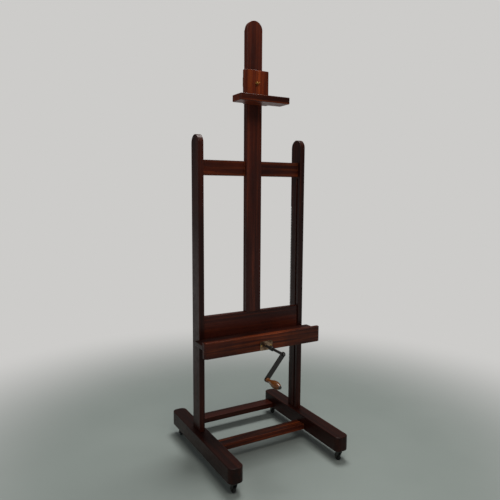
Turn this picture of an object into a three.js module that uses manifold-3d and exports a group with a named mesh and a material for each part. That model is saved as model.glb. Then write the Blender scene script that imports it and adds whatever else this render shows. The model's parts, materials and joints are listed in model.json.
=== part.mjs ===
// Studio winding easel: a fixed stand on castors, and a carriage (panel, tray and mast) that a crank
// winds up and down through a worm, a cross shaft, and two pinions running on racks in the uprights.
// Millimetres. +Z is up, the front faces -Y, +X is to the right as seen from the front.
// Depths are measured from the middle of the uprights; the whole easel is centred on its box at the end.
import * as THREE from 'three';
import { mergeVertices } from 'three/addons/utils/BufferGeometryUtils.js';
import Module from 'manifold-3d';

const wasm = await Module();
wasm.setup();

const GAP = 0.3; // air between two pieces that touch

// Stand
const CASTOR_HEIGHT = 55.5;
const FOOT = { inner: 236.5, outer: 304.5, front: -390.5, rear: 255, height: 68, corner: 25 };
const FOOT_TOP = CASTOR_HEIGHT + FOOT.height;
const UPRIGHT = { inner: 254, outer: 280, halfDepth: 38, top: 1472 };
const STRETCHER = { bottom: 59, thickness: 26, width: 62, front: -132, rear: 160 };
const CROSSBAR = { bottom: 1295, top: 1363, front: -18, rear: 12 };
const TENON = { depth: 20, shoulder: 6 };
const CROSSBAR_TENON = { depth: 18, shoulder: 6, edge: 10 };
const UPRIGHT_TENON = { depth: 35, halfWidth: 25, halfThickness: 6 };
const GROOVE = { front: -20, rear: -9, depth: 8, bottom: 130, top: 1288 };

// Carriage
const PANEL = { front: -31, rear: -6, bottom: 460, top: 661, halfWidth: 252.8 };
const TONGUE = { front: -19.5, rear: -9.5, halfWidth: 260 };
const MAST = { front: -35, rear: -10, halfWidth: 39, top: 1980 };
const DOVETAIL = { start: -18, halfWidth: 42, clearance: 0.6 };
const MAST_TENON = { depth: 25, halfWidth: 28, front: -27, rear: -15 };
const TRAY = { halfWidth: 305, front: -155, lip: -129, wingRear: -44, corner: 16 };
const APRON = { bottom: 504, top: 577 };
const SHELF = { bottom: 541, top: 561, halfCentre: 250 };
const PILOT_DEPTH = 16;
const TRAY_BRACKET = { centre: 150, thickness: 20, drop: 34, reach: 60, hollow: [10, 6] };

// Winding gear
const CRANK_Z = 525;
const CRANK_SHAFT = { radius: 6, front: -305, rear: 92 };
const RACK = { front: 24, module: 2.5, depth: 8, bottom: 352, teeth: 101, pressure: 20, play: 0.2 };
const PINION = { teeth: 10, inner: 252, outer: 261.8, play: 1 };
const WHEEL = { teeth: 20, module: 2.5, halfWidth: 6, play: 1.2 };
const WORM = { pitchRadius: 11, starts: 2, halfLength: 15, root: 8, tip: 13, crest: 0.6, foot: 2.6 };
const CROSS_SHAFT = { radius: 6, halfLength: 268 };
const SHAFT_BRACKET = { centre: 200, halfWidth: 6, boss: 13, halfFoot: 36, wrap: 1.85 };
const GEAR_BRACKET = {
  bottom: 513, top: 537, plate: 6, halfWidth: 46, arm: 26, armWidth: 8, ear: 8, reach: 14,
};

// Crank
const ESCUTCHEON = { halfWidth: 32, bottom: 505, top: 547, thickness: 2.5, corner: 4, boss: 9.5 };
const ESCUTCHEON_Z = (ESCUTCHEON.bottom + ESCUTCHEON.top) / 2;
const SCREW = { spacing: 25, shank: 1.6, head: 3.6, length: 14, point: 1.6, crown: 1.6 };
const BUSH = { body: 9.2, flange: 13, thickness: 2.5 };
const COLLAR = { front: -216, rear: -190, radius: 10 };
const ARM = { front: -301, rear: -294, halfWidth: 11, reachX: -81, drop: 98 };
const HANDLE = { rear: -303, front: -402, pin: 3 };
const HANDLE_TURNING = [ // [radius, distance in front of the handle's rear end]
  [9.5, 0], [10.4, 4], [9.6, 8], [8.4, 14], [8.8, 24], [12, 38],
  [15.2, 51], [16.5, 63], [15.8, 75], [13.4, 85], [10.4, 93],
];
const NUT = { radius: 7.5, crown: 4, height: 6 };
const PIN_HEAD = { radius: 5, crown: 4, height: 3 };
const CAP = { rear: 7.8, middle: 6.4, front: 3.5 };
const CAP_FRONT = -408;

// Canvas holder
const HOLDER = { halfWidth: 61.5, front: -55, rear: -35.5, bottom: 1613, top: 1763, corner: 5 };
const LEDGE = { halfWidth: 124, front: -136, thickness: 29, corner: 4 };
const STRAP = { bottom: 1695, top: 1735, thickness: 3, flange: 10, rear: -6 };
const SCREW_Z = 1705;
const THUMB_BUSH = { body: 5.4, flange: 7.5, thickness: 1.6 };
const THUMBSCREW = { radius: 3.2, hub: 5.5, lobe: 4.2, reach: 8, halfThickness: 1.5, tilt: 0.4 };

// Castors
const CASTOR = { centreX: 270.5, frontY: -362, rearY: 209, trail: 9, wheel: 16, halfWheel: 7 };
const CASTOR_PLATE = { halfWidth: 18, corner: 4, thickness: 3, stem: 4, stemBottom: 41.5 };
const CASTOR_FORK = { crown: 13, bottom: 43, top: 51.6, cheekInner: 8, cheekOuter: 10.5, tip: 6 };
const CASTOR_AXLE = { radius: 2.5, halfLength: 12 };
const CASTOR_HUB = { radius: 6, outer: 7, web: 12, dish: 2 };

const ADDENDUM = 0.85; // tooth height above and below the pitch line, in modules
const DEDENDUM = 1.2;
const RACK_TIP = UPRIGHT.halfDepth - GAP;
const RACK_PITCH_LINE = RACK_TIP - ADDENDUM * RACK.module;
const RACK_ROOT = RACK_PITCH_LINE - DEDENDUM * RACK.module;
const RACK_STEP = Math.PI * RACK.module;
const RACK_TOP = RACK.bottom + RACK.teeth * RACK_STEP;
const PINION_RADIUS = (PINION.teeth * RACK.module) / 2;
const SHAFT_Y = RACK_PITCH_LINE + PINION_RADIUS;
const WHEEL_RADIUS = (WHEEL.teeth * WHEEL.module) / 2;
const SHAFT_Z = CRANK_Z + WORM.pitchRadius + WHEEL_RADIUS;
const HANDLE_X = ARM.reachX;
const HANDLE_Z = CRANK_Z - ARM.drop;
const CENTRE_SHIFT = -(CAP_FRONT + FOOT.rear) / 2;

const material = (color, roughness, metalness = 0) =>
  new THREE.MeshStandardMaterial({ color, roughness, metalness });
const MAHOGANY = material(0x43261c, 0.42);
const MAHOGANY_RED = material(0x5a2f1e, 0.38);
const HANDLE_WOOD = material(0x9a5a2b, 0.4);
const BRASS = material(0x9c7b3c, 0.4, 1);
const STEEL = material(0x6c6a66, 0.45, 1);
const IRON = material(0x1f1d1c, 0.55, 0.8);
const WHEEL_BLACK = material(0x161514, 0.5);

const UNIT = {
  x: new THREE.Vector3(1, 0, 0),
  y: new THREE.Vector3(0, 1, 0),
  z: new THREE.Vector3(0, 0, 1),
  minusY: new THREE.Vector3(0, -1, 0),
};

// ---- geometry helpers

// Keeps positions only, shares vertices, drops empty triangles and turns the faces outwards.
function closed(source) {
  const geometry = source.index ? source.toNonIndexed() : source.clone();
  geometry.deleteAttribute('normal');
  geometry.deleteAttribute('uv');
  geometry.clearGroups();
  const merged = mergeVertices(geometry, 1e-4);
  const kept = [];
  for (let i = 0; i < merged.index.count; i += 3) {
    const [a, b, c] = [0, 1, 2].map((k) => merged.index.getX(i + k));
    if (a !== b && b !== c && c !== a) kept.push(a, b, c);
  }
  merged.setIndex(kept);
  if (volume(merged) < 0) merged.setIndex(kept.slice().reverse());
  return merged;
}

function volume(geometry) {
  const corners = [0, 1, 2].map(() => new THREE.Vector3());
  let sum = 0;
  for (let i = 0; i < geometry.index.count; i += 3) {
    corners.forEach((corner, k) => {
      corner.fromBufferAttribute(geometry.attributes.position, geometry.index.getX(i + k));
    });
    sum += corners[0].dot(corners[1].clone().cross(corners[2])) / 6;
  }
  return sum;
}

function solid(geometry) {
  const clean = closed(geometry);
  const vertProperties = new Float32Array(clean.attributes.position.array);
  const triVerts = new Uint32Array(clean.index.array);
  return new wasm.Manifold(new wasm.Mesh({ numProp: 3, vertProperties, triVerts }));
}

function surface(manifold) {
  const mesh = manifold.getMesh();
  const geometry = new THREE.BufferGeometry();
  geometry.setAttribute('position', new THREE.BufferAttribute(new Float32Array(mesh.vertProperties), 3));
  geometry.setIndex(new THREE.BufferAttribute(new Uint32Array(mesh.triVerts), 1));
  return geometry;
}

const join = (...pieces) => surface(pieces.map(solid).reduce((sum, piece) => sum.add(piece)));
const cut = (piece, ...tools) =>
  surface(tools.map(solid).reduce((rest, tool) => rest.subtract(tool), solid(piece)));
const common = (a, b) => surface(solid(a).intersect(solid(b)));

function box([x0, x1], [y0, y1], [z0, z1]) {
  const geometry = new THREE.BoxGeometry(x1 - x0, y1 - y0, z1 - z0);
  return geometry.translate((x0 + x1) / 2, (y0 + y1) / 2, (z0 + z1) / 2);
}

function extruded(shape, length, curveSegments, steps) {
  return new THREE.ExtrudeGeometry(shape, { depth: length, bevelEnabled: false, curveSegments, steps });
}

// An outline drawn in (Y, Z), swept from x0 to x1.
function alongX(shape, x0, x1, curveSegments = 8, steps = 1) {
  const turn = new THREE.Matrix4().makeBasis(UNIT.y, UNIT.z, UNIT.x);
  return extruded(shape, x1 - x0, curveSegments, steps).applyMatrix4(turn).translate(x0, 0, 0);
}

// An outline drawn in (X, Z), swept from y0 to y1.
function alongY(shape, y0, y1, curveSegments = 8) {
  const turn = new THREE.Matrix4().makeBasis(UNIT.x, UNIT.z, UNIT.minusY);
  return extruded(shape, y1 - y0, curveSegments, 1).applyMatrix4(turn).translate(0, y1, 0);
}

// An outline drawn in (X, Y), swept from z0 to z1.
function alongZ(shape, z0, z1, curveSegments = 8) {
  return extruded(shape, z1 - z0, curveSegments, 1).translate(0, 0, z0);
}

// A profile of [radius, distance along the axis] pairs, turned about an axis through the given point.
function turned(profile, axis, [x, y, z], segments = 24) {
  const basis = {
    x: [UNIT.minusY, UNIT.x, UNIT.z],
    y: [UNIT.x, UNIT.y, UNIT.z],
    z: [UNIT.x, UNIT.z, UNIT.minusY],
  };
  const points = profile.map(([radius, along]) => new THREE.Vector2(radius, along));
  const turn = new THREE.Matrix4().makeBasis(...basis[axis]);
  return new THREE.LatheGeometry(points, segments).applyMatrix4(turn).translate(x, y, z);
}

function rod(axis, radius, [a0, a1], centre, segments = 24) {
  return turned([[0, a0], [radius, a0], [radius, a1], [0, a1]], axis, centre, segments);
}

function outline(points) {
  return new THREE.Shape(points.map(([x, y]) => new THREE.Vector2(x, y)));
}

function circle(x, y, radius) {
  return new THREE.Path().absarc(x, y, radius, 0, 2 * Math.PI, false);
}

function roundedRect([x0, x1], [y0, y1], radius) {
  const shape = new THREE.Shape();
  shape.absarc(x1 - radius, y1 - radius, radius, 0, Math.PI / 2, false);
  shape.absarc(x0 + radius, y1 - radius, radius, Math.PI / 2, Math.PI, false);
  shape.absarc(x0 + radius, y0 + radius, radius, Math.PI, 1.5 * Math.PI, false);
  shape.absarc(x1 - radius, y0 + radius, radius, 1.5 * Math.PI, 2 * Math.PI, false);
  return shape;
}

// A board standing on end whose top is a half circle as wide as the board.
function archedBoard([a0, a1], bottom, top) {
  const radius = (a1 - a0) / 2;
  const shape = new THREE.Shape();
  shape.moveTo(a0, bottom);
  shape.lineTo(a1, bottom);
  shape.absarc((a0 + a1) / 2, top - radius, radius, 0, Math.PI, false);
  shape.closePath();
  return shape;
}

const mirrored = (side, [a0, a1]) => (side < 0 ? [-a1, -a0] : [a0, a1]);
const grown = ([a0, a1], margin) => [a0 - margin, a1 + margin];

const easel = new THREE.Group();

function part(name, geometry, look) {
  const mesh = new THREE.Mesh(closed(geometry).translate(0, CENTRE_SHIFT, 0), look);
  mesh.geometry.computeVertexNormals();
  mesh.name = name;
  easel.add(mesh);
}

const SIDES = [['left', -1], ['right', 1]];

// ---- stand

function stretcherTenon(front) {
  return [
    [-FOOT.inner - TENON.depth, FOOT.inner + TENON.depth],
    [front + TENON.shoulder, front + STRETCHER.width - TENON.shoulder],
    [STRETCHER.bottom + TENON.shoulder, STRETCHER.bottom + STRETCHER.thickness - TENON.shoulder],
  ];
}

function uprightTenon(side) {
  const centre = side * (UPRIGHT.inner + UPRIGHT.outer) / 2;
  return [
    grown([centre, centre], UPRIGHT_TENON.halfThickness),
    [-UPRIGHT_TENON.halfWidth, UPRIGHT_TENON.halfWidth],
    [FOOT_TOP - UPRIGHT_TENON.depth, FOOT_TOP + 1],
  ];
}

function crossbarTenon() {
  return [
    grown([-UPRIGHT.inner, UPRIGHT.inner], CROSSBAR_TENON.depth),
    [CROSSBAR.front + CROSSBAR_TENON.shoulder, CROSSBAR.rear - CROSSBAR_TENON.shoulder],
    [CROSSBAR.bottom + CROSSBAR_TENON.edge, CROSSBAR.top - CROSSBAR_TENON.edge],
  ];
}

const mortise = (tenon) => box(...tenon.map((range) => grown(range, GAP)));

function foot(side) {
  const plan = roundedRect(mirrored(side, [FOOT.inner, FOOT.outer]), [FOOT.front, FOOT.rear], FOOT.corner);
  const bar = alongZ(plan, CASTOR_HEIGHT, FOOT_TOP, 10);
  const mortises = [stretcherTenon(STRETCHER.front), stretcherTenon(STRETCHER.rear), uprightTenon(side)];
  return cut(bar, ...mortises.map(mortise));
}

function stretcher(front) {
  const reach = FOOT.inner - GAP;
  const rail = box(
    [-reach, reach],
    [front, front + STRETCHER.width],
    [STRETCHER.bottom, STRETCHER.bottom + STRETCHER.thickness],
  );
  return join(rail, box(...stretcherTenon(front)));
}

function upright(side) {
  const depth = [-UPRIGHT.halfDepth, UPRIGHT.halfDepth];
  const width = mirrored(side, [UPRIGHT.inner, UPRIGHT.outer]);
  const board = alongX(archedBoard(depth, FOOT_TOP + GAP, UPRIGHT.top), ...width, 24);
  const groove = box(
    mirrored(side, [UPRIGHT.inner - 1, UPRIGHT.inner + GROOVE.depth]),
    [GROOVE.front, GROOVE.rear],
    [GROOVE.bottom, GROOVE.top],
  );
  const rebate = box(
    mirrored(side, [UPRIGHT.inner - 1, UPRIGHT.inner + RACK.depth]),
    [RACK.front, UPRIGHT.halfDepth + 1],
    [RACK.bottom - GAP, RACK_TOP + RACK_STEP / 2 + GAP],
  );
  return cut(join(board, box(...uprightTenon(side))), groove, rebate, mortise(crossbarTenon()));
}

// The mast's plan: a plain board whose back flares into a dovetail.
function mastPlan(margin = 0) {
  const { halfWidth, front, rear } = MAST;
  const half = [
    [halfWidth + margin, front - margin],
    [halfWidth + margin, DOVETAIL.start],
    [DOVETAIL.halfWidth + margin, rear + margin],
  ];
  return outline([...half, ...half.map(([x, y]) => [-x, y]).reverse()]);
}

function crossbar() {
  const reach = UPRIGHT.inner - GAP;
  const bar = box([-reach, reach], [CROSSBAR.front, CROSSBAR.rear], [CROSSBAR.bottom, CROSSBAR.top]);
  const slot = alongZ(mastPlan(DOVETAIL.clearance), CROSSBAR.bottom - 1, CROSSBAR.top + 1);
  return cut(join(bar, box(...crossbarTenon())), slot);
}

// ---- winding gear

// A gear outline about the origin; the gap between two teeth is centred on the angle given.
function gearOutline(teeth, module, play, gapAngle) {
  const pitch = (teeth * module) / 2;
  const pressure = THREE.MathUtils.degToRad(RACK.pressure);
  const base = pitch * Math.cos(pressure);
  const involute = (angle) => Math.tan(angle) - angle;
  const halfTooth = (radius) => {
    const angle = Math.acos(Math.min(1, base / radius));
    return ((Math.PI * module) / 2 - play) / (2 * pitch) + involute(pressure) - involute(angle);
  };
  const root = pitch - DEDENDUM * module;
  const radii = [base, pitch, pitch + ADDENDUM * module];
  const flank = [[root, halfTooth(base)], ...radii.map((radius) => [radius, halfTooth(radius)])];
  const points = [];
  for (let i = 0; i < teeth; i += 1) {
    const centre = gapAngle + ((i + 0.5) * 2 * Math.PI) / teeth;
    const rising = flank.map(([radius, half]) => [radius, centre - half]);
    const falling = flank.map(([radius, half]) => [radius, centre + half]).reverse();
    for (const [radius, angle] of [...rising, ...falling]) {
      points.push([radius * Math.cos(angle), radius * Math.sin(angle)]);
    }
  }
  return points;
}

function gear(teeth, module, play, gapAngle, bore, [x0, x1], steps = 1) {
  const points = gearOutline(teeth, module, play, gapAngle);
  const shape = outline(points.map(([y, z]) => [y + SHAFT_Y, z + SHAFT_Z]));
  shape.holes.push(circle(SHAFT_Y, SHAFT_Z, bore));
  return alongX(shape, x0, x1, 20, steps);
}

// Turns each slice of a gear about the cross shaft in proportion to its X.
function twisted(geometry, radiansPerMm) {
  const position = geometry.attributes.position;
  for (let i = 0; i < position.count; i += 1) {
    const point = new THREE.Vector3().fromBufferAttribute(position, i);
    const arm = new THREE.Vector3(0, point.y - SHAFT_Y, point.z - SHAFT_Z);
    arm.applyAxisAngle(UNIT.x, radiansPerMm * point.x);
    position.setXYZ(i, point.x, arm.y + SHAFT_Y, arm.z + SHAFT_Z);
  }
  return geometry;
}

// A rack let into the upright's rear inner corner, flush with it, one tooth level with the cross shaft.
function rack(side) {
  const slope = Math.tan(THREE.MathUtils.degToRad(RACK.pressure));
  const half = RACK_STEP / 4 - RACK.play;
  const atRoot = half + (RACK_PITCH_LINE - RACK_ROOT) * slope;
  const atTip = half - (RACK_TIP - RACK_PITCH_LINE) * slope;
  const below = Math.round((SHAFT_Z - RACK.bottom) / RACK_STEP - 0.5);
  const points = [[RACK.front + GAP, RACK.bottom], [RACK_ROOT, RACK.bottom]];
  for (let i = 0; i < RACK.teeth; i += 1) {
    const centre = SHAFT_Z + (i - below) * RACK_STEP;
    points.push([RACK_ROOT, centre - atRoot], [RACK_TIP, centre - atTip]);
    points.push([RACK_TIP, centre + atTip], [RACK_ROOT, centre + atRoot]);
  }
  const top = RACK_TOP + RACK_STEP / 2;
  points.push([RACK_ROOT, top], [RACK.front + GAP, top]);
  return alongX(outline(points), ...mirrored(side, [UPRIGHT.inner, UPRIGHT.inner + RACK.depth - GAP]));
}

// A left-hand worm: a sleeve whose radius rises along two helical ridges.
function worm() {
  const pitch = Math.PI * WHEEL.module;
  const lead = WORM.starts * pitch;
  const around = 20;
  const along = 32;
  const bore = CRANK_SHAFT.radius + GAP;
  const radiusAt = (angle, y) => {
    const turns = (y + (lead * angle) / (2 * Math.PI)) / pitch;
    const offset = Math.abs(turns - Math.round(turns)) * pitch;
    const climb = (WORM.foot - offset) / (WORM.foot - WORM.crest);
    return THREE.MathUtils.lerp(WORM.root, WORM.tip, THREE.MathUtils.clamp(climb, 0, 1));
  };
  const positions = [];
  const indices = [];
  const columns = along + 3;
  for (let i = 0; i < around; i += 1) {
    const angle = (i * 2 * Math.PI) / around;
    const row = [[bore, -WORM.halfLength]];
    for (let j = 0; j <= along; j += 1) {
      const y = THREE.MathUtils.lerp(-WORM.halfLength, WORM.halfLength, j / along);
      row.push([radiusAt(angle, y), y]);
    }
    row.push([bore, WORM.halfLength]);
    for (const [radius, y] of row) {
      positions.push(radius * Math.sin(angle), y + SHAFT_Y, radius * Math.cos(angle) + CRANK_Z);
    }
    const next = ((i + 1) % around) * columns;
    for (let j = 0; j < columns; j += 1) {
      const [a, b] = [j, (j + 1) % columns];
      indices.push(i * columns + a, next + a, next + b, i * columns + a, next + b, i * columns + b);
    }
  }
  const geometry = new THREE.BufferGeometry();
  geometry.setAttribute('position', new THREE.Float32BufferAttribute(positions, 3));
  geometry.setIndex(indices);
  return geometry;
}

function shaftBracket(side) {
  const { centre, halfWidth, boss, halfFoot, wrap } = SHAFT_BRACKET;
  const shape = new THREE.Shape();
  shape.moveTo(PANEL.rear + GAP, SHAFT_Z - halfFoot);
  shape.absarc(SHAFT_Y, SHAFT_Z, boss, -wrap, wrap, false);
  shape.lineTo(PANEL.rear + GAP, SHAFT_Z + halfFoot);
  shape.closePath();
  shape.holes.push(circle(SHAFT_Y, SHAFT_Z, CROSS_SHAFT.radius + GAP));
  return alongX(shape, side * centre - halfWidth, side * centre + halfWidth, 20);
}

// A bent bar behind the panel: a plate, an arm beside the worm and an ear for the shaft's rear end.
function gearBracket() {
  const { plate, halfWidth, arm, armWidth, ear, reach } = GEAR_BRACKET;
  const back = PANEL.rear + GAP;
  const rear = CRANK_SHAFT.rear - 3;
  const plan = outline([
    [-halfWidth, back], [halfWidth, back], [halfWidth, back + plate], [arm + armWidth, back + plate],
    [arm + armWidth, rear], [-reach, rear], [-reach, rear - ear], [arm, rear - ear],
    [arm, back + plate], [-halfWidth, back + plate],
  ]);
  const bar = alongZ(plan, GEAR_BRACKET.bottom, GEAR_BRACKET.top);
  return cut(bar, rod('y', CRANK_SHAFT.radius + GAP, [back - 1, rear + 1], [0, 0, CRANK_Z]));
}

// ---- carriage

// The profile of a bush with its flange in front of the face it is pushed into.
function flangedBush(bore, { body, flange, thickness }, face, rear) {
  const front = face - thickness;
  const outside = [[flange, front], [flange, face], [body, face], [body, rear]];
  return [[bore, front], ...outside, [bore, rear], [bore, front]];
}

const crankBore = (radius, range) => rod('y', radius, range, [0, 0, CRANK_Z]);

function panel() {
  const height = [PANEL.bottom, PANEL.top];
  const board = box(grown([0, 0], PANEL.halfWidth), [PANEL.front, PANEL.rear], height);
  const tongues = box(grown([0, 0], TONGUE.halfWidth), [TONGUE.front, TONGUE.rear], height);
  const bore = crankBore(BUSH.body + GAP, [PANEL.front - 1, PANEL.rear + 1]);
  return cut(join(board, tongues), mortise(mastTenon()), bore);
}

function mastTenon() {
  return [
    grown([0, 0], MAST_TENON.halfWidth),
    [MAST_TENON.front, MAST_TENON.rear],
    [PANEL.top - MAST_TENON.depth, PANEL.top + 1],
  ];
}

function mast() {
  const stock = alongZ(mastPlan(), PANEL.top + GAP, MAST.top);
  const { halfWidth, top } = MAST;
  const flare = DOVETAIL.halfWidth - halfWidth;
  const front = new THREE.Shape();
  front.moveTo(-DOVETAIL.halfWidth, PANEL.top);
  front.lineTo(DOVETAIL.halfWidth, PANEL.top);
  front.lineTo(DOVETAIL.halfWidth, top - halfWidth - 2 * flare);
  front.absarc(0, top - halfWidth, halfWidth, 0, Math.PI, false);
  front.lineTo(-DOVETAIL.halfWidth, top - halfWidth - 2 * flare);
  front.closePath();
  const board = common(stock, alongY(front, MAST.front - 1, MAST.rear + 1, 32));
  return join(board, box(...mastTenon()));
}

// The plank across the tray's front, standing above the shelf as a lip.
function apron() {
  const { halfWidth, front, lip, corner } = TRAY;
  const plan = new THREE.Shape();
  plan.moveTo(halfWidth, lip);
  plan.lineTo(-halfWidth, lip);
  plan.absarc(-halfWidth + corner, front + corner, corner, Math.PI, 1.5 * Math.PI, false);
  plan.absarc(halfWidth - corner, front + corner, corner, 1.5 * Math.PI, 2 * Math.PI, false);
  const board = alongZ(plan, APRON.bottom, APRON.top);
  const pilots = screwHoles([front - 1, front + PILOT_DEPTH]);
  return cut(board, crankBore(CRANK_SHAFT.radius + 1, [front - 1, lip + 1]), ...pilots);
}

function shelf() {
  const { halfWidth, lip, wingRear } = TRAY;
  const half = [
    [halfWidth, lip + GAP],
    [halfWidth, wingRear],
    [SHELF.halfCentre, wingRear],
    [SHELF.halfCentre, PANEL.front - GAP],
  ];
  const plan = outline([...half, ...half.map(([x, y]) => [-x, y]).reverse()]);
  return alongZ(plan, SHELF.bottom, SHELF.top);
}

// A glue block with a hollowed front, in the corner between the shelf and the panel.
function trayBracket(side) {
  const { centre, thickness, drop, reach, hollow } = TRAY_BRACKET;
  const top = SHELF.bottom - GAP;
  const back = PANEL.front - GAP;
  const shape = new THREE.Shape();
  shape.moveTo(back, top);
  shape.lineTo(back - reach, top);
  shape.quadraticCurveTo(back - hollow[0], top - hollow[1], back, top - drop);
  shape.closePath();
  return alongX(shape, side * centre - thickness / 2, side * centre + thickness / 2, 8);
}

// ---- crank

function screwHoles(range) {
  const { spacing, shank } = SCREW;
  return SIDES.map(([, side]) => rod('y', shank + GAP, range, [side * spacing, 0, ESCUTCHEON_Z], 12));
}

function escutcheon() {
  const { halfWidth, bottom, top, thickness, corner, boss: radius } = ESCUTCHEON;
  const back = TRAY.front - GAP;
  const outer = roundedRect(grown([0, 0], halfWidth), [bottom, top], corner);
  const plate = alongY(outer, back - thickness, back, 5);
  const boss = rod('y', radius, [back - 2 * thickness, back - 1], [0, 0, CRANK_Z]);
  const bore = crankBore(CRANK_SHAFT.radius + GAP, [back - 10, back + 1]);
  return cut(join(plate, boss), bore, ...screwHoles([back - 4, back + 1]));
}

function escutcheonScrew(side) {
  const { spacing, shank, head, length, point, crown: rise } = SCREW;
  const face = TRAY.front - GAP - ESCUTCHEON.thickness - GAP;
  const crown = [[0, face - rise], [0.6 * head, face - 0.8 * rise], [head, face]];
  const stem = [[shank, face], [shank, face + length], [0, face + length + point]];
  return turned([...crown, ...stem], 'y', [side * spacing, 0, ESCUTCHEON_Z], 12);
}

function panelBush() {
  const bush = flangedBush(CRANK_SHAFT.radius + GAP, BUSH, PANEL.front - GAP, PANEL.rear - 1);
  return turned(bush, 'y', [0, 0, CRANK_Z]);
}

function crankShaft() {
  const { radius, front, rear } = CRANK_SHAFT;
  const profile = [[0, front], [radius, front], [radius, rear - 1], [radius - 1, rear], [0, rear]];
  return turned(profile, 'y', [0, 0, CRANK_Z]);
}

function shaftCollar() {
  const { front, rear, radius } = COLLAR;
  const bore = CRANK_SHAFT.radius + GAP;
  const profile = [
    [bore, front], [radius - 2, front], [radius, front + 2], [radius, rear - 2],
    [radius - 2, rear], [bore, rear], [bore, front],
  ];
  return turned(profile, 'y', [0, 0, CRANK_Z]);
}

function crankArm() {
  const { front, rear, halfWidth, reachX, drop } = ARM;
  const down = Math.atan2(-drop, reachX);
  const shape = new THREE.Shape();
  shape.absarc(0, CRANK_Z, halfWidth, down + Math.PI / 2, down + 1.5 * Math.PI, false);
  shape.absarc(HANDLE_X, HANDLE_Z, halfWidth, down - Math.PI / 2, down + Math.PI / 2, false);
  shape.holes.push(circle(0, CRANK_Z, CRANK_SHAFT.radius + GAP));
  shape.holes.push(circle(HANDLE_X, HANDLE_Z, HANDLE.pin + GAP));
  return alongY(shape, front, rear, 12);
}

function shaftNut() {
  const { radius, crown, height } = NUT;
  const back = CRANK_SHAFT.front - GAP;
  const outside = [[crown, back + 1 - height], [radius, back - height / 4], [radius, back]];
  return turned([[0, back - height], ...outside, [0, back]], 'y', [0, 0, CRANK_Z], 16);
}

function crankPin() {
  const rear = ARM.rear + GAP;
  const stem = [[0, HANDLE.front], [HANDLE.pin, HANDLE.front], [HANDLE.pin, rear]];
  const { radius, crown, height } = PIN_HEAD;
  const profile = [...stem, [radius, rear], [crown, rear + height], [0, rear + height]];
  return turned(profile, 'y', [HANDLE_X, 0, HANDLE_Z], 16);
}

function crankHandle() {
  const { rear, front } = HANDLE;
  const bore = HANDLE.pin + GAP;
  const outside = HANDLE_TURNING.map(([radius, along]) => [radius, rear - along]);
  const end = front + GAP;
  const profile = [[bore, rear], ...outside, [CAP.rear + 0.2, end], [bore, end], [bore, rear]];
  return turned(profile, 'y', [HANDLE_X, 0, HANDLE_Z]);
}

function handleCap() {
  const back = HANDLE.front - GAP;
  const dome = [[CAP.front, CAP_FRONT + 0.8], [CAP.middle, CAP_FRONT + 3], [CAP.rear, back]];
  return turned([[0, CAP_FRONT], ...dome, [0, back]], 'y', [HANDLE_X, 0, HANDLE_Z], 20);
}

// ---- canvas holder

function holderPlate() {
  const { halfWidth, front, rear, bottom, top, corner } = HOLDER;
  const board = alongY(roundedRect([-halfWidth, halfWidth], [bottom, top], corner), front, rear, 5);
  return cut(board, rod('y', THUMB_BUSH.body + GAP, [front - 1, rear + 1], [0, 0, SCREW_Z]));
}

function holderLedge() {
  const rear = HOLDER.front - GAP;
  const plan = roundedRect([-LEDGE.halfWidth, LEDGE.halfWidth], [LEDGE.front, rear], LEDGE.corner);
  return alongZ(plan, HOLDER.bottom, HOLDER.bottom + LEDGE.thickness, 4);
}

// A strap that passes behind the mast and is screwed to the back of the plate at both ends.
function holderStrap() {
  const { thickness, flange, rear } = STRAP;
  const front = HOLDER.rear + GAP;
  const inside = DOVETAIL.halfWidth + 1;
  const half = [
    [inside, front],
    [inside + thickness + flange, front],
    [inside + thickness + flange, front + thickness],
    [inside + thickness, front + thickness],
    [inside + thickness, rear],
  ];
  const plan = outline([
    ...half,
    ...half.map(([x, y]) => [-x, y]).reverse(),
    [-inside, rear - thickness],
    [inside, rear - thickness],
  ]);
  return alongZ(plan, STRAP.bottom, STRAP.top);
}

function thumbscrewBush() {
  const bush = flangedBush(THUMBSCREW.radius + GAP, THUMB_BUSH, HOLDER.front - GAP, HOLDER.rear - 1);
  return turned(bush, 'y', [0, 0, SCREW_Z], 20);
}

function thumbscrew() {
  const tip = HOLDER.rear - 0.6;
  const { radius, hub, lobe, reach, halfThickness, tilt } = THUMBSCREW;
  const head = HOLDER.front - THUMB_BUSH.thickness - 1;
  const stem = turned(
    [[0, tip], [radius, tip], [radius, head], [hub, head], [hub - 1, head - 6], [3, head - 8], [0, head - 9]],
    'y', [0, 0, SCREW_Z], 16,
  );
  const lobeY = head - 9;
  const wing = new THREE.Shape();
  wing.moveTo(-hub + 1, head - 1);
  wing.lineTo(hub - 1, head - 1);
  wing.absarc(reach, lobeY, lobe, 1.2, -Math.PI / 2, true);
  wing.quadraticCurveTo(hub - 2, lobeY - lobe, 0, head - 7);
  wing.quadraticCurveTo(2 - hub, lobeY - lobe, -reach, lobeY - lobe);
  wing.absarc(-reach, lobeY, lobe, 1.5 * Math.PI, Math.PI - 1.2, true);
  wing.closePath();
  const wings = alongZ(wing, -halfThickness, halfThickness, 6).rotateY(-tilt).translate(0, 0, SCREW_Z);
  return join(stem, wings);
}

// ---- castors

function castorPlate(x, y) {
  const { halfWidth, corner, thickness, stem, stemBottom } = CASTOR_PLATE;
  const top = CASTOR_HEIGHT - GAP;
  const plan = roundedRect(grown([x, x], halfWidth), grown([y, y], halfWidth), corner);
  return join(alongZ(plan, top - thickness, top, 3), rod('z', stem, [stemBottom, top - 1], [x, y, 0], 16));
}

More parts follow.
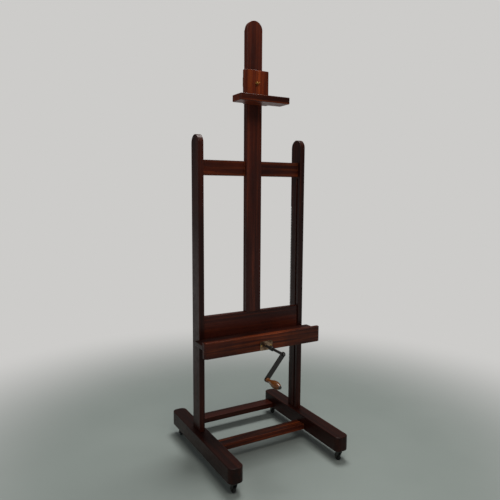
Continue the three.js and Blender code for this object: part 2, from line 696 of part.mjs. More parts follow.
function castorFork(x, y) {
  const { crown: radius, bottom, top, cheekInner, cheekOuter, tip } = CASTOR_FORK;
  const axleY = y + CASTOR.trail;
  const crown = rod('z', radius, [bottom, top], [x, y, 0], 20);
  const cheek = new THREE.Shape();
  cheek.moveTo(y - 9, top - 1.6);
  cheek.lineTo(y - 9, bottom - 3);
  cheek.lineTo(axleY - tip, CASTOR.wheel - 1);
  cheek.absarc(axleY, CASTOR.wheel, tip, Math.PI, 2 * Math.PI, false);
  cheek.lineTo(y + 12, bottom + 1);
  cheek.lineTo(y + 9, top - 1.6);
  cheek.closePath();
  const cheeks = SIDES.map(([, side]) =>
    alongX(cheek, ...mirrored(side, [cheekInner, cheekOuter]), 5).translate(x, 0, 0));
  const bore = rod('z', CASTOR_PLATE.stem + GAP, [bottom - 3, CASTOR_HEIGHT], [x, y, 0], 16);
  return cut(join(crown, ...cheeks), bore, castorAxle(x, y, GAP));
}

function castorAxle(x, y, margin = 0) {
  const { radius, halfLength } = CASTOR_AXLE;
  const centre = [x, y + CASTOR.trail, CASTOR.wheel];
  return rod('x', radius + margin, grown([0, 0], halfLength + margin), centre, 16);
}

function castorWheel(x, y) {
  const { wheel, halfWheel } = CASTOR;
  const { radius, outer, web, dish } = CASTOR_HUB;
  const hub = [[CASTOR_AXLE.radius + GAP, halfWheel], [radius, halfWheel], [outer, halfWheel - dish]];
  const rim = [[web, halfWheel - dish], [wheel - 1.5, halfWheel - 1], [wheel, halfWheel - 3]];
  const upper = [...hub, ...rim];
  const lower = upper.map(([radius, along]) => [radius, -along]).reverse();
  return turned([...upper, ...lower, upper[0]], 'x', [x, y + CASTOR.trail, wheel], 20);
}

// ---- assembly

for (const [name, side] of SIDES) {
  part(`${name}_foot`, foot(side), MAHOGANY);
  part(`${name}_upright`, upright(side), MAHOGANY);
  part(`${name}_rack`, rack(side), IRON);
  part(`${name}_pinion`, gear(
    PINION.teeth, RACK.module, PINION.play, Math.PI, CROSS_SHAFT.radius + GAP,
    mirrored(side, [PINION.inner, PINION.outer]),
  ), BRASS);
  part(`${name}_shaft_bracket`, shaftBracket(side), IRON);
  part(`${name}_tray_bracket`, trayBracket(side), MAHOGANY);
  part(`${name}_escutcheon_screw`, escutcheonScrew(side), BRASS);
}

part('front_stretcher', stretcher(STRETCHER.front), MAHOGANY_RED);
part('rear_stretcher', stretcher(STRETCHER.rear), MAHOGANY);
part('crossbar', crossbar(), MAHOGANY);

part('panel', panel(), MAHOGANY);
part('mast', mast(), MAHOGANY);
part('tray_apron', apron(), MAHOGANY_RED);
part('tray_shelf', shelf(), MAHOGANY);

const wheelTwist = -(WORM.starts * WHEEL.module) / (2 * WORM.pitchRadius) / WHEEL_RADIUS;
const wheelBlank = gear(
  WHEEL.teeth, WHEEL.module, WHEEL.play, -Math.PI / 2, CROSS_SHAFT.radius + GAP,
  [-WHEEL.halfWidth, WHEEL.halfWidth], 2,
);
part('worm_wheel', twisted(wheelBlank, wheelTwist), BRASS);
part('worm', worm(), STEEL);
const shaftEnds = grown([0, 0], CROSS_SHAFT.halfLength);
part('cross_shaft', rod('x', CROSS_SHAFT.radius, shaftEnds, [0, SHAFT_Y, SHAFT_Z]), STEEL);
part('gear_bracket', gearBracket(), IRON);
part('panel_bush', panelBush(), BRASS);

part('escutcheon', escutcheon(), BRASS);
part('crank_shaft', crankShaft(), IRON);
part('shaft_collar', shaftCollar(), IRON);
part('crank_arm', crankArm(), IRON);
part('shaft_nut', shaftNut(), IRON);
part('crank_pin', crankPin(), STEEL);
part('crank_handle', crankHandle(), HANDLE_WOOD);
part('handle_cap', handleCap(), IRON);

part('holder_plate', holderPlate(), MAHOGANY_RED);
part('holder_ledge', holderLedge(), MAHOGANY_RED);
part('holder_strap', holderStrap(), BRASS);
part('thumbscrew_bush', thumbscrewBush(), BRASS);
part('thumbscrew', thumbscrew(), BRASS);

for (const [name, side] of SIDES) {
  for (const [end, y] of [['front', CASTOR.frontY], ['rear', CASTOR.rearY]]) {
    const x = side * CASTOR.centreX;
    part(`${end}_${name}_castor_plate`, castorPlate(x, y), IRON);
    part(`${end}_${name}_castor_fork`, castorFork(x, y), IRON);
    part(`${end}_${name}_castor_axle`, castorAxle(x, y), STEEL);
    part(`${end}_${name}_castor_wheel`, castorWheel(x, y), WHEEL_BLACK);
  }
}

export default easel;
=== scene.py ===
"""Looks for the studio winding easel: polished dark mahogany, aged brass and blackened iron."""
import json
import math

import bmesh
import bpy
from mathutils import Matrix, Vector


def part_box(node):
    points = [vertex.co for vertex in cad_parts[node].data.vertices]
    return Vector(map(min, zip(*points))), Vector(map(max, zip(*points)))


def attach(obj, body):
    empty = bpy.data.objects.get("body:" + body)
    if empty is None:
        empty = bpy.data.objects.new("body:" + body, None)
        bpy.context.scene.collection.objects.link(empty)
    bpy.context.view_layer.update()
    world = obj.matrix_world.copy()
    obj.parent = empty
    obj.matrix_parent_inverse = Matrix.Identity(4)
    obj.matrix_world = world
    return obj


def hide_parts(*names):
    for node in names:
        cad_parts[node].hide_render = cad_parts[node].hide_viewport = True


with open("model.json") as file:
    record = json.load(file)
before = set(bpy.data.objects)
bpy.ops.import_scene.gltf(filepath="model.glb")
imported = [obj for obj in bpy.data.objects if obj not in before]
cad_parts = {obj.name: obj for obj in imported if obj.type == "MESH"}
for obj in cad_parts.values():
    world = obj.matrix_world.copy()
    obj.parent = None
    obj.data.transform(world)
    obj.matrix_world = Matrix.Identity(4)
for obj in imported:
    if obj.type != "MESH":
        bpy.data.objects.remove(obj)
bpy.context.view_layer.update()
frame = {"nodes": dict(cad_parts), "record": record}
record = frame["record"]
SLOT_OF = {s["node"]: s["material_slot"] for s in record["subparts"]}
BODY_OF = {n: b for b, nodes in record["behaviour"]["bodies"].items() for n in nodes}
MM = 0.001

# ---------------------------------------------------------------- camera
CAMERA_PLACE = Vector((-1.1745, -2.0200, 1.2280))
CAMERA_YAW = math.radians(29.26)
CAMERA_PITCH = math.radians(-6.62)
CAMERA_ROLL = math.radians(0.31)
CAMERA_LENS = 36.76
CAMERA_SENSOR = 36
CAMERA_REACH = 60


def make_camera():
    data = bpy.data.cameras.new("camera")
    data.lens = CAMERA_LENS
    data.sensor_width = CAMERA_SENSOR
    data.clip_end = CAMERA_REACH
    camera = bpy.data.objects.new("camera", data)
    bpy.context.scene.collection.objects.link(camera)
    turn = Matrix.Rotation(-CAMERA_YAW, 4, "Z") @ Matrix.Rotation(math.pi / 2 + CAMERA_PITCH, 4, "X")
    camera.matrix_world = Matrix.Translation(CAMERA_PLACE) @ turn @ Matrix.Rotation(CAMERA_ROLL, 4, "Z")
    bpy.context.scene.camera = camera


make_camera()


# ---------------------------------------------------------------- shader helpers
class Nodes:
    """A material's node tree, with one call per node."""

    def __init__(self, name):
        self.material = bpy.data.materials.new(name)
        self.material.use_nodes = True
        self.tree = self.material.node_tree
        self.tree.nodes.clear()
        output = self.tree.nodes.new("ShaderNodeOutputMaterial")
        self.shader = self.tree.nodes.new("ShaderNodeBsdfPrincipled")
        self.tree.links.new(self.shader.outputs[0], output.inputs[0])

    def link(self, source, target):
        self.tree.links.new(source, target)

    def add(self, kind, values=(), **settings):
        node = self.tree.nodes.new(kind)
        for key, value in settings.items():
            setattr(node, key, value)
        for key, value in dict(values).items():
            if isinstance(value, bpy.types.NodeSocket):
                self.link(value, node.inputs[key])
            else:
                node.inputs[key].default_value = value
        return node

    def coordinates(self, scale, offset=(0, 0, 0)):
        place = self.add("ShaderNodeTexCoord").outputs["Object"]
        values = {"Vector": place, "Location": offset, "Scale": scale}
        return self.add("ShaderNodeMapping", values).outputs[0]

    def noise(self, vector, detail=3.0, rough=0.5, distortion=0.0):
        """Noise whose size is set by the coordinates alone."""
        values = {"Vector": vector, "Scale": 1.0, "Detail": detail, "Roughness": rough}
        values["Distortion"] = distortion
        return self.add("ShaderNodeTexNoise", values).outputs["Fac"]

    def fit(self, value, low, high, to_low=0.0, to_high=1.0):
        """The value taken softly from one range to another, and held inside it."""
        values = {"Value": value, "From Min": low, "From Max": high, "To Min": to_low, "To Max": to_high}
        node = self.add("ShaderNodeMapRange", values, clamp=True, interpolation_type="SMOOTHSTEP")
        return node.outputs[0]

    def math(self, operation, a, b):
        return self.add("ShaderNodeMath", {0: a, 1: b}, operation=operation).outputs[0]

    def mix(self, factor, a, b):
        """Colour a where the factor is 0, colour b where it is 1."""
        node = self.add("ShaderNodeMix", data_type="RGBA", blend_type="MIX")
        for key, value in (("Factor", factor), ("A", a), ("B", b)):
            socket = [s for s in node.inputs if s.name == key and (key == "Factor" or s.type == "RGBA")][0]
            if isinstance(value, bpy.types.NodeSocket):
                self.link(value, socket)
            else:
                socket.default_value = value
        return [s for s in node.outputs if s.type == "RGBA"][0]

    def edges(self, radius, low=0.02, high=0.3):
        """1 along edges and corners, 0 on flat faces."""
        rounded = self.add("ShaderNodeBevel", {"Radius": radius}, samples=6).outputs[0]
        flat = self.add("ShaderNodeNewGeometry").outputs["Normal"]
        pair = {0: rounded, 1: flat}
        agreement = self.add("ShaderNodeVectorMath", pair, operation="DOT_PRODUCT").outputs["Value"]
        return self.fit(self.math("SUBTRACT", 1.0, agreement), low, high)

    def bump(self, height, strength, distance, normal=None):
        values = {"Height": height, "Strength": strength, "Distance": distance}
        if normal is not None:
            values["Normal"] = normal
        return self.add("ShaderNodeBump", values).outputs[0]

    def finish(self, color, roughness, normal, **constants):
        self.link(color, self.shader.inputs["Base Color"])
        self.link(roughness, self.shader.inputs["Roughness"])
        self.link(normal, self.shader.inputs["Normal"])
        for key, value in constants.items():
            self.shader.inputs[key.replace("_", " ")].default_value = value
        return self.material


def rgb(red, green, blue):
    """An sRGB colour, 0 to 255, as the linear colour that shaders take."""
    def linear(c):
        c /= 255
        return c / 12.92 if c <= 0.04045 else ((c + 0.055) / 1.055) ** 2.4
    return (linear(red), linear(green), linear(blue), 1.0)


def brightened(color, factor):
    return tuple(factor * c for c in color[:3]) + (1.0,)


# ---------------------------------------------------------------- materials
# Noise across the grain in cycles per metre, and the share of it that is left along the grain.
FIGURE_SCALE = 9
FIGURE_STRETCH = 0.1
LINE_SCALE = 75
LINE_STRETCH = 0.0225
PORE_SCALE = 900
PORE_STRETCH = 0.045
PORE_COLOR = rgb(14, 7, 5)
WOOD_WEAR_AND_HIGHLIGHT_RADIUS = 4 * MM
WOOD_SPECULAR = 0.16
METAL_WEAR_RADIUS = 1.2 * MM
METAL_GRIT = 0.4
PAINT_WEAR_RADIUS = 1.5 * MM
PAINT_CLOUD = 1.7


def wood(name, grain, tones, offset, shade, coat=0.03, figure=1.0):
    """Polished wood whose grain runs along X, Y or Z: figure, growth lines, pores, worn edges that are
    also a painted highlight on the red mahogany.
    """
    # The tones scaled by the piece's brightness, which is partly painted shade.
    dark, middle, light, worn = [brightened(tone, shade) for tone in tones]
    n = Nodes(name)
    along = "XYZ".index(grain)

    def stretched(across, stretch):
        scale = [across] * 3
        scale[along] = across * stretch
        return n.coordinates(scale, offset)

    figure_noise = n.noise(stretched(FIGURE_SCALE, FIGURE_STRETCH), detail=4, rough=0.55, distortion=0.6)
    lines = n.noise(stretched(LINE_SCALE, LINE_STRETCH), detail=5, rough=0.62, distortion=0.25)
    pores = n.noise(stretched(PORE_SCALE, PORE_STRETCH), detail=2, rough=0.6)
    cloud = n.noise(n.coordinates((3.2, 3.2, 3.2), offset), detail=3, rough=0.5)
    scuffs = n.noise(n.coordinates((55, 55, 55), offset), detail=6, rough=0.7)
    base = n.mix(n.fit(figure_noise, 0.34, 0.68), dark, middle)
    base = n.mix(n.math("MULTIPLY", n.fit(lines, 0.47, 0.7), 0.75 * figure), base, light)
    base = n.mix(n.math("MULTIPLY", n.fit(cloud, 0.45, 0.7), 0.75 * figure), base, dark)
    pore = n.fit(pores, 0.56, 0.68)
    base = n.mix(n.math("MULTIPLY", pore, 0.55), base, PORE_COLOR)
    # Lighter along the edges: rubbed wear, and on the red mahogany also a painted highlight.
    wear = n.math("MULTIPLY", n.edges(WOOD_WEAR_AND_HIGHLIGHT_RADIUS), n.fit(scuffs, 0.38, 0.62))
    base = n.mix(n.math("MULTIPLY", wear, 0.6), base, worn)
    dents = n.fit(n.noise(n.coordinates((22, 22, 22), offset), detail=2), 0.62, 0.72)
    shine = n.math("ADD", n.fit(cloud, 0.3, 0.7, 0.30, 0.42), n.math("MULTIPLY", pore, 0.18))
    shine = n.math("ADD", shine, n.math("MULTIPLY", n.fit(scuffs, 0.4, 0.7), 0.1))
    surface = n.bump(n.math("SUBTRACT", n.math("MULTIPLY", lines, 0.35), pore), 0.5, 0.00012)
    surface = n.bump(n.math("MULTIPLY", dents, -1.0), 0.35, 0.0004, surface)
    return n.finish(base, shine, surface, Coat_Weight=coat, Coat_Roughness=0.2,
                    Specular_IOR_Level=WOOD_SPECULAR)


def metal(name, clean, tarnish, worn, rough=(0.28, 0.5)):
    """Old metal: tarnish in clouds, bright rubbed edges, fine scratches."""
    n = Nodes(name)
    cloud = n.noise(n.coordinates((38, 38, 38)), detail=5, rough=0.65, distortion=0.3)
    speck = n.noise(n.coordinates((420, 420, 420)), detail=3, rough=0.6)
    scratch = n.noise(n.coordinates((90, 1400, 1400)), detail=2)
    color = n.mix(n.fit(cloud, 0.36, 0.66), clean, tarnish)
    color = n.mix(n.math("MULTIPLY", n.fit(speck, 0.55, 0.7), 0.5), color, tarnish)
    color = n.mix(n.math("MULTIPLY", n.edges(METAL_WEAR_RADIUS), n.fit(speck, 0.35, 0.55)), color, worn)
    scratched = n.math("MULTIPLY", n.fit(scratch, 0.5, 0.7), 0.12)
    shine = n.math("ADD", n.fit(cloud, 0.3, 0.7, *rough), scratched)
    surface = n.bump(n.math("ADD", speck, n.math("MULTIPLY", scratch, 0.6)), METAL_GRIT, 0.00015)
    return n.finish(color, shine, surface, Metallic=1.0)


def painted(name, color, worn, rough, grit):
    """Blackened iron or a hard dark composition: matt, slightly pitted, rubbed at the edges."""
    n = Nodes(name)
    cloud = n.noise(n.coordinates((30, 30, 30)), detail=4, rough=0.6)
    pits = n.noise(n.coordinates((650, 650, 650)), detail=3, rough=0.6)
    base = n.mix(n.fit(cloud, 0.35, 0.7), color, brightened(color, PAINT_CLOUD))
    wear = n.math("MULTIPLY", n.edges(PAINT_WEAR_RADIUS), n.fit(pits, 0.4, 0.6, 0.0, 0.7))
    base = n.mix(wear, base, worn)
    shine = n.fit(cloud, 0.3, 0.7, rough - 0.08, rough + 0.1)
    return n.finish(base, shine, n.bump(pits, grit, 0.0002), Specular_IOR_Level=0.5)


# How bright each wooden piece is, against the palette of its wood: partly the board's own tone, partly
# painted shade that makes the low feet darkest.
TONE_AND_SHADE_OF = {
    "left_foot": 0.44, "right_foot": 0.42, "left_upright": 0.62, "right_upright": 0.68, "tray_apron": 0.6,
    "tray_shelf": 0.45, "holder_plate": 0.68, "holder_ledge": 0.55, "mast": 1.1, "crossbar": 0.52,
    "front_stretcher": 0.85, "rear_stretcher": 0.75, "crank_handle": 0.42,
}
MAHOGANY = (rgb(36, 12, 8), rgb(66, 25, 16), rgb(100, 44, 24), rgb(116, 62, 38))
# The red mahogany's worn tone is partly wear and partly a painted highlight along its edges.
RED_MAHOGANY = (rgb(44, 13, 7), rgb(112, 42, 18), rgb(178, 84, 34), rgb(198, 128, 88))
AMBER = (rgb(92, 48, 14), rgb(146, 84, 30), rgb(188, 122, 52), rgb(200, 146, 86))

# The boards with strong figure; the others have less of it.
FIGURED = ("tray_apron", "front_stretcher")
QUIET_FIGURE = 0.6
POLISHED_COAT = 0.5
# Moves the pattern by where the piece sits, so that no two boards look the same.
GRAIN_SHIFT = 3.7
# The boards whose grain does not run across the easel.
GRAIN_OF = {
    "left_foot": "Y", "right_foot": "Y", "left_upright": "Z", "right_upright": "Z", "mast": "Z",
    "left_tray_bracket": "Z", "right_tray_bracket": "Z", "holder_plate": "Z",
}
METALS = {
    "worn_plate": metal("worn_plate", rgb(150, 126, 102), rgb(84, 62, 48), rgb(196, 176, 150)),
    "aged_brass": metal("aged_brass", rgb(196, 154, 84), rgb(104, 76, 42), rgb(232, 200, 128)),
    "steel": metal("steel", rgb(150, 147, 140), rgb(84, 80, 74), rgb(190, 188, 182), rough=(0.3, 0.45)),
    "black_iron": painted("black_iron", rgb(20, 18, 17), rgb(74, 68, 62), 0.42, 0.5),
    "black_wheel": painted("black_wheel", rgb(15, 14, 13), rgb(52, 48, 44), 0.5, 0.7),
}


def material_for(node):
    """The looks of a node: a board has its own wood, and metals are shared."""
    slot = SLOT_OF[node]
    if node == "escutcheon":
        return METALS["worn_plate"]
    if slot in METALS:
        return METALS[slot]
    low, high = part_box(node)
    offset = tuple((low + high) * GRAIN_SHIFT)
    shade = TONE_AND_SHADE_OF.get(node, 1.0)
    if slot == "turned_beech":
        return wood(f"{node}_wood", "Y", AMBER, offset, shade, coat=POLISHED_COAT)
    tones = RED_MAHOGANY if slot == "red_mahogany" or node == "crossbar" else MAHOGANY
    figure = 1.0 if node in FIGURED else QUIET_FIGURE
    return wood(f"{node}_wood", GRAIN_OF.get(node, "X"), tones, offset, shade, figure=figure)


# ---------------------------------------------------------------- pieces
# Width in millimetres and number of segments of the rounding.
ROUNDING = {
    "mahogany": (2.2, 4), "red_mahogany": (2.6, 4), "turned_beech": (0.6, 2), "aged_brass": (0.35, 2),
    "steel": (0.3, 2), "black_iron": (0.5, 2), "black_wheel": (0.7, 2),
}
ROUNDING_OF = {
    "left_foot": (3.5, 5), "right_foot": (3.5, 5), "worm": (0.2, 1), "gear_bracket": (0.3, 1),
    "left_rack": (0.3, 1), "right_rack": (0.3, 1), "crank_arm": (1.0, 3),
}
WOODS = ("mahogany", "red_mahogany")
# Pieces other than boards that are rounded only on their outer shape.
EASED = ("left_rack", "right_rack", "left_shaft_bracket", "right_shaft_bracket", "crank_arm")
SHARP = math.radians(28)
FLAT = math.radians(1)
NODE_WELD = 0.05 * MM
CUT_WELD = 0.02 * MM
ENVELOPE_SLACK = 0.04 * MM


def stand_for(mesh, node):
    """A piece that rides where the CAD node rides, and replaces it."""
    piece = bpy.data.objects.new(f"{node}_finish", mesh)
    bpy.context.scene.collection.objects.link(piece)
    piece.data.materials.clear()
    piece.data.materials.append(material_for(node))
    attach(piece, BODY_OF[node])
    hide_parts(node)
    return piece


def whole_faces(bm, weld):
    """Shares vertices, remakes flat areas as plain triangles or quads, and marks the crisp edges."""
    bmesh.ops.remove_doubles(bm, verts=bm.verts, dist=weld)
    bmesh.ops.dissolve_limit(bm, angle_limit=FLAT, verts=bm.verts, edges=bm.edges)
    many_sided = [face for face in bm.faces if len(face.verts) > 4]
    bmesh.ops.triangulate(bm, faces=many_sided)
    for face in bm.faces:
        face.smooth = True
    for edge in bm.edges:
        edge.smooth = len(edge.link_faces) == 2 and edge.calc_face_angle(0) < SHARP


def mesh_of(node):
    """A copy of the node's CAD mesh, with whole faces."""
    mesh = bpy.data.meshes.new(f"{node}_finish")
    bm = bmesh.new()
    bm.from_mesh(frame["nodes"][node].data)
    whole_faces(bm, NODE_WELD)
    bm.to_mesh(mesh)
    bm.free()
    return mesh


def apply_modifiers(piece):
    bpy.context.view_layer.update()
    evaluated = piece.evaluated_get(bpy.context.evaluated_depsgraph_get())
    mesh = bpy.data.meshes.new_from_object(evaluated)
    piece.modifiers.clear()
    piece.data = mesh


def rounding_for(node):
    """The rounding of a piece's own, or else that of its material."""
    return ROUNDING_OF.get(node, ROUNDING[SLOT_OF[node]])


def rounded(node):
    """The node with every sharp edge rounded over."""
    piece = stand_for(mesh_of(node), node)
    width, segments = rounding_for(node)
    bevel = piece.modifiers.new("rounding", "BEVEL")
    bevel.width = width * MM
    bevel.segments = segments
    bevel.limit_method = "ANGLE"
    bevel.angle_limit = SHARP
    bevel.miter_outer = "MITER_ARC"
    bevel.harden_normals = True
    apply_modifiers(piece)


def envelope(node):
    """The node's convex outer shape, a hair larger, with its edges rounded over."""
    width, segments = rounding_for(node)
    source = frame["nodes"][node].data.vertices
    low = Vector([min(v.co[k] for v in source) for k in range(3)])
    high = Vector([max(v.co[k] for v in source) for k in range(3)])
    middle = (low + high) / 2
    stretch = Matrix.Diagonal([1 + ENVELOPE_SLACK / (high[k] - low[k]) for k in range(3)])
    bm = bmesh.new()
    for vertex in source:
        bm.verts.new(middle + stretch @ (vertex.co - middle))
    hull = bmesh.ops.convex_hull(bm, input=bm.verts)
    spare = set(hull["geom_interior"] + hull["geom_unused"])
    inside = [item for item in spare if isinstance(item, bmesh.types.BMVert)]
    bmesh.ops.delete(bm, geom=inside, context="VERTS")
    bmesh.ops.dissolve_limit(bm, angle_limit=FLAT, verts=bm.verts, edges=bm.edges)
    sharp = [edge for edge in bm.edges if edge.calc_face_angle(0) > SHARP]
    bmesh.ops.bevel(bm, geom=sharp, offset=width * MM, segments=segments, profile=0.5,
                    affect="EDGES", clamp_overlap=True)
    mesh = bpy.data.meshes.new("envelope")
    bm.to_mesh(mesh)
    bm.free()
    return mesh


def carve(piece, mesh, operation):
    """Combines a piece with a shape given in the piece's own axes, by a boolean."""
    bpy.context.view_layer.update()
    tool = bpy.data.objects.new("tool", mesh)
    bpy.context.scene.collection.objects.link(tool)
    tool.matrix_world = piece.matrix_world
    carving = piece.modifiers.new("carving", "BOOLEAN")
    carving.operation = operation
    carving.solver = "EXACT"
    carving.object = tool
    apply_modifiers(piece)
    bpy.data.objects.remove(tool)
    bm = bmesh.new()
    bm.from_mesh(piece.data)
    whole_faces(bm, CUT_WELD)
    bm.to_mesh(piece.data)
    bm.free()
    normals = piece.modifiers.new("normals", "WEIGHTED_NORMAL")
    normals.keep_sharp = True
    apply_modifiers(piece)


def eased(node):
    """The node with the edges of its outer shape rounded over, and its joints left crisp."""
    carve(stand_for(mesh_of(node), node), envelope(node), "INTERSECT")


def box_mesh(low, high, turn=Matrix.Identity(3)):
    """A box between two corners, turned about its middle."""
    bm = bmesh.new()
    bmesh.ops.create_cube(bm, size=1)
    middle = (low + high) / 2
    for vertex in bm.verts:
        vertex.co = middle + turn @ Vector([vertex.co[k] * (high[k] - low[k]) for k in range(3)])
    mesh = bpy.data.meshes.new("box")
    bm.to_mesh(mesh)
    bm.free()
    return mesh


# Half the size of the box that cuts the slot, and how far it is turned, in degrees.
ESCUTCHEON_SLOT_HALF = Vector((6 * MM, 1.1 * MM, 0.5 * MM))
ESCUTCHEON_SLOT_ANGLE = {"left_escutcheon_screw": 35, "right_escutcheon_screw": -20}


def slotted(node):
    """A screw facing the front, with the slot for a screwdriver across its head."""
    low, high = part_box(node)
    middle = (low + high) / 2
    head = Vector((middle.x, low.y, middle.z))
    turn = Matrix.Rotation(math.radians(ESCUTCHEON_SLOT_ANGLE[node]), 3, "Y")
    slot = box_mesh(head - ESCUTCHEON_SLOT_HALF, head + ESCUTCHEON_SLOT_HALF, turn)
    carve(stand_for(mesh_of(node), node), slot, "DIFFERENCE")


def smooth_curve(points, steps):
    """Points along a soft curve through the given ones."""
    padded = [points[0]] + points + [points[-1]]
    curve = []
    for a, b, c, d in zip(padded, padded[1:], padded[2:], padded[3:]):
        for i in range(steps):
            t = i / steps
            pull = (c - a) * t + (2 * a - 5 * b + 4 * c - d) * t * t + (3 * b - 3 * c + d - a) * t ** 3
            curve.append(b + pull / 2)
    return curve + [points[-1]]


def lathe(rings, axis, around):
    """A closed band of [radius, distance] rings about an axis given as a matrix."""
    bm = bmesh.new()
    verts = []
    angles = [2 * math.pi * i / around for i in range(around)]
    for radius, along in rings:
        places = [Vector((radius * math.cos(a), along, radius * math.sin(a))) for a in angles]
        verts.append([bm.verts.new(axis @ place) for place in places])
    for ring, after in zip(verts, verts[1:] + verts[:1]):
        for i in range(around):
            k = (i + 1) % around
            bm.faces.new((ring[i], ring[k], after[k], after[i]))
    bmesh.ops.recalc_face_normals(bm, faces=bm.faces)
    for face in bm.faces:
        face.smooth = True
    for edge in bm.edges:
        edge.smooth = edge.calc_face_angle(0) < SHARP
    return bm


HANDLE_AROUND = 56
HANDLE_STEPS = 6
BORE_MARGIN = 1 * MM


def turned_handle(node):
    """The crank's handle, turned along a soft curve through the node's own profile."""
    low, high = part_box(node)
    middle = (low + high) / 2
    profile = set()
    for vertex in frame["nodes"][node].data.vertices:
        radius = math.hypot(vertex.co.x - middle.x, vertex.co.z - middle.z)
        profile.add((round(radius, 5), round(vertex.co.y, 5)))
    bore = min(radius for radius, along in profile)
    outside = sorted((Vector(p) for p in profile if p[0] > bore + BORE_MARGIN), key=lambda p: p.y)
    curve = smooth_curve(outside, HANDLE_STEPS)
    rings = [(bore, curve[0].y)] + [tuple(p) for p in curve] + [(bore, curve[-1].y)]
    bm = lathe(rings, Matrix.Translation((middle.x, 0, middle.z)), HANDLE_AROUND)
    mesh = bpy.data.meshes.new(f"{node}_finish")
    bm.to_mesh(mesh)
    bm.free()
    stand_for(mesh, node)


# ---------------------------------------------------------------- screws
LARGE_HEAD = 3.2 * MM
SMALL_HEAD = 2.4 * MM
# The head's height against its radius, and the dome from the top down in shares of radius and height.
HEAD_RISE = 0.42
HEAD_DOME = ((0.02, 1.0), (0.4, 0.93), (0.75, 0.62), (1.0, 0.1))
# How far the head goes into the piece, against its radius.
HEAD_SUNK = 0.15
# Half the size of the box that cuts the slot: along and across it by the radius, down by the height.
HEAD_SLOT_HALF_LENGTH = 1.2
HEAD_SLOT_HALF_DEPTH = 0.5
HEAD_SLOT_HALF_WIDTH = 0.13
HEAD_AROUND = 20
# How far the first slot is turned, and each next one against the one before, in radians.
FIRST_TURN = 0.6
NEXT_TURN = 1.9
STRAP_THICKNESS = 3 * MM
BRACKET_THICKNESS = 6 * MM
CASTOR_PLATE_THICKNESS = 3 * MM
CASTOR_PLATE_INSET = 5.5 * MM
RACK_SCREWS = 7
RACK_END = 20 * MM
RACK_SCREW_INSET = 4 * MM


def screw_head(radius):
    """A domed head with a slot, standing on the origin and facing +Y."""
    rise = HEAD_RISE * radius
    dome = [(across * radius, height * rise) for across, height in HEAD_DOME]
    base = [(dome[-1][0], -HEAD_SUNK * radius), (dome[0][0], -HEAD_SUNK * radius)]
    bm = lathe(dome + base, Matrix.Identity(4), HEAD_AROUND)
    mesh = bpy.data.meshes.new("screw")
    bm.to_mesh(mesh)
    bm.free()
    head = bpy.data.objects.new("screw", mesh)
    bpy.context.scene.collection.objects.link(head)
    top = Vector((0, rise, 0))
    half_length = HEAD_SLOT_HALF_LENGTH * radius
    half_depth = HEAD_SLOT_HALF_DEPTH * rise
    half_width = HEAD_SLOT_HALF_WIDTH * radius
    half = Vector((half_length, half_depth, half_width))
    carve(head, box_mesh(top - half, top + half), "DIFFERENCE")
    result = head.data
    bpy.data.objects.remove(head)
    return result


def screws(name, body, slot, radius, places, facing):
    """Screw heads in one piece: at the places given, all facing one way, each turned differently."""
    head = screw_head(radius)
    bm = bmesh.new()
    to_face = Vector((0, 1, 0)).rotation_difference(Vector(facing)).to_matrix().to_4x4()
    for i, place in enumerate(places):
        before = len(bm.verts)
        bm.from_mesh(head)
        bm.verts.ensure_lookup_table()
        spin = Matrix.Rotation(FIRST_TURN + NEXT_TURN * i, 4, "Y")
        added = bm.verts[before:]
        bmesh.ops.transform(bm, matrix=Matrix.Translation(place) @ to_face @ spin, verts=added)
    mesh = bpy.data.meshes.new(name)
    bm.to_mesh(mesh)
    bm.free()
    mesh.materials.clear()
    mesh.materials.append(METALS[slot])
    piece = bpy.data.objects.new(name, mesh)
    bpy.context.scene.collection.objects.link(piece)
    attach(piece, body)


def strap_screws():
    """Four screws in the flanges of the strap, on the back of the canvas holder."""
    low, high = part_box("holder_strap")
    inset_x = 5 * MM
    inset_z = 9 * MM
    flange_y = low.y + STRAP_THICKNESS
    places = []
    for x in (low.x + inset_x, high.x - inset_x):
        for z in (low.z + inset_z, high.z - inset_z):
            places.append((x, flange_y, z))
    screws("holder_strap_screws", BODY_OF["holder_strap"], "aged_brass", LARGE_HEAD, places, (0, 1, 0))


def bracket_screws():
    """Three screws in a row in the plate of the gear bracket, behind the panel."""
    low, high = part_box("gear_bracket")
    back_y = low.y + BRACKET_THICKNESS
    middle_z = (low.z + high.z) / 2
    places = [(x, back_y, middle_z) for x in (low.x + 10 * MM, low.x + 24 * MM, high.x - 6 * MM)]
    screws("gear_bracket_screws", BODY_OF["gear_bracket"], "steel", LARGE_HEAD, places, (0, 1, 0))


def rack_screws(node, side):
    """A row of screws up the face of a rack that looks towards the other upright."""
    low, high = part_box(node)
    x = high.x if side < 0 else low.x
    y = low.y + RACK_SCREW_INSET
    step = (high.z - low.z - 2 * RACK_END) / (RACK_SCREWS - 1)
    places = [(x, y, low.z + RACK_END + i * step) for i in range(RACK_SCREWS)]
    screws(f"{node}_screws", BODY_OF[node], "steel", SMALL_HEAD, places, (-side, 0, 0))


def castor_plate_screws(node):
    """A screw in each corner of the plate, seen from below."""
    low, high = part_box(node)
    under_z = high.z - CASTOR_PLATE_THICKNESS
    corners = []
    for x in (low.x + CASTOR_PLATE_INSET, high.x - CASTOR_PLATE_INSET):
        for y in (low.y + CASTOR_PLATE_INSET, high.y - CASTOR_PLATE_INSET):
            corners.append((x, y, under_z))
    screws(f"{node}_screws", BODY_OF[node], "steel", SMALL_HEAD, corners, (0, 0, -1))


for node in SLOT_OF:
    if node in ESCUTCHEON_SLOT_ANGLE:
        slotted(node)
    elif node == "crank_handle":
        turned_handle(node)
    elif SLOT_OF[node] in WOODS or node in EASED:
        eased(node)
    else:
        rounded(node)

strap_screws()
bracket_screws()
rack_screws("left_rack", -1)
rack_screws("right_rack", 1)
for node in SLOT_OF:
    if node.endswith("castor_plate"):
        castor_plate_screws(node)


# ---------------------------------------------------------------- floor and light
FLOOR_HALF = 9.0
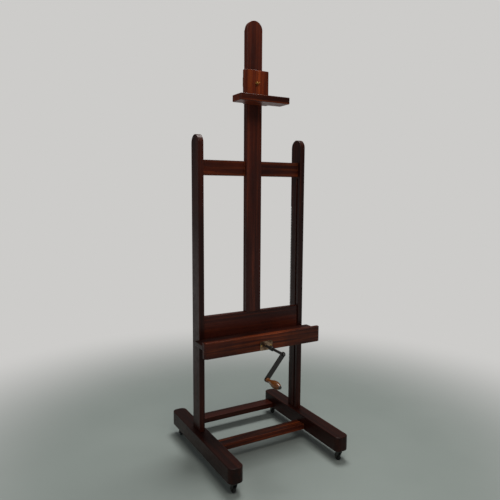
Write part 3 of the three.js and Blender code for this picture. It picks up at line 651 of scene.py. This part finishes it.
# Distances from the middle at which the floor starts to fade into painted light, a glow in the background
# colour, and has gone into it.
FLOOR_FADE = (0.8, 2.3)
BACKGROUND = rgb(205, 204, 202)
SURROUND = rgb(226, 226, 224)
SURROUND_STRENGTH = 0.16
FLOOR_TONES = (rgb(130, 140, 137), rgb(139, 148, 145))
BLACK = rgb(0, 0, 0)
# Metres and watts.
LIGHTS = {
    "top": {"place": (0.5, 0.35, 4.2), "target": (0, 0, 0), "size": (1.3, 1.3),
            "power": 120, "color": (1.0, 0.98, 0.95)},
    "key": {"place": (-0.6, -2.0, 3.3), "target": (0, 0, 1.3), "size": (1.6, 1.2),
            "power": 46, "color": (1.0, 0.95, 0.88)},
    "side": {"place": (-3.2, -0.6, 2.6), "target": (0, 0, 1.2), "size": (1.6, 1.6),
             "power": 9, "color": (0.96, 0.98, 1.0)},
}


def make_floor():
    """A grey-green floor near the easel that further out glows in the pale background colour, painted
    light that keeps it bright.
    """
    mesh = bpy.data.meshes.new("floor")
    corners = [(-1, -1), (1, -1), (1, 1), (-1, 1)]
    mesh.from_pydata([(FLOOR_HALF * x, FLOOR_HALF * y, 0) for x, y in corners], [], [(0, 1, 2, 3)])
    floor = bpy.data.objects.new("floor", mesh)
    bpy.context.scene.collection.objects.link(floor)
    n = Nodes("floor")
    place = n.add("ShaderNodeTexCoord").outputs["Object"]
    distance = n.add("ShaderNodeVectorMath", {0: place}, operation="LENGTH").outputs["Value"]
    far_glow = n.fit(distance, *FLOOR_FADE)
    color = n.mix(n.noise(n.coordinates((1.5, 1.5, 1.5))), *FLOOR_TONES)
    color = n.mix(far_glow, color, BLACK)
    shine = n.fit(n.noise(n.coordinates((4, 4, 4))), 0.3, 0.7, 0.45, 0.55)
    # Painted light: the far floor glows in the background colour instead of being lit.
    n.link(far_glow, n.shader.inputs["Emission Strength"])
    n.link(n.math("SUBTRACT", 0.5, n.math("MULTIPLY", far_glow, 0.5)), n.shader.inputs["Specular IOR Level"])
    grit = n.bump(n.noise(n.coordinates((90, 90, 90))), 0.05, 0.001)
    mesh.materials.append(n.finish(color, shine, grit, Emission_Color=BACKGROUND))


def area_light(name, place, target, size, power, color):
    """A rectangular light that faces its target."""
    data = bpy.data.lights.new(name, "AREA")
    data.shape = "RECTANGLE"
    data.size, data.size_y = size
    data.energy = power
    data.color = color
    light = bpy.data.objects.new(name, data)
    bpy.context.scene.collection.objects.link(light)
    toward = Vector(target) - Vector(place)
    light.matrix_world = Matrix.Translation(place) @ toward.to_track_quat("-Z", "Y").to_matrix().to_4x4()


def make_lights():
    """A pale wall colour that the camera sees, a dimmer surround as soft light, and three area lights."""
    world = bpy.data.worlds.new("world")
    world.use_nodes = True
    tree = world.node_tree
    seen = tree.nodes["Background"]
    seen.inputs["Color"].default_value = BACKGROUND
    around = tree.nodes.new("ShaderNodeBackground")
    around.inputs["Color"].default_value = SURROUND
    around.inputs["Strength"].default_value = SURROUND_STRENGTH
    path = tree.nodes.new("ShaderNodeLightPath")
    mix = tree.nodes.new("ShaderNodeMixShader")
    tree.links.new(path.outputs["Is Camera Ray"], mix.inputs[0])
    tree.links.new(around.outputs[0], mix.inputs[1])
    tree.links.new(seen.outputs[0], mix.inputs[2])
    tree.links.new(mix.outputs[0], tree.nodes["World Output"].inputs[0])
    bpy.context.scene.world = world
    for name, settings in LIGHTS.items():
        area_light(name, **settings)


make_floor()
make_lights()
bpy.context.scene.view_settings.view_transform = "Standard"
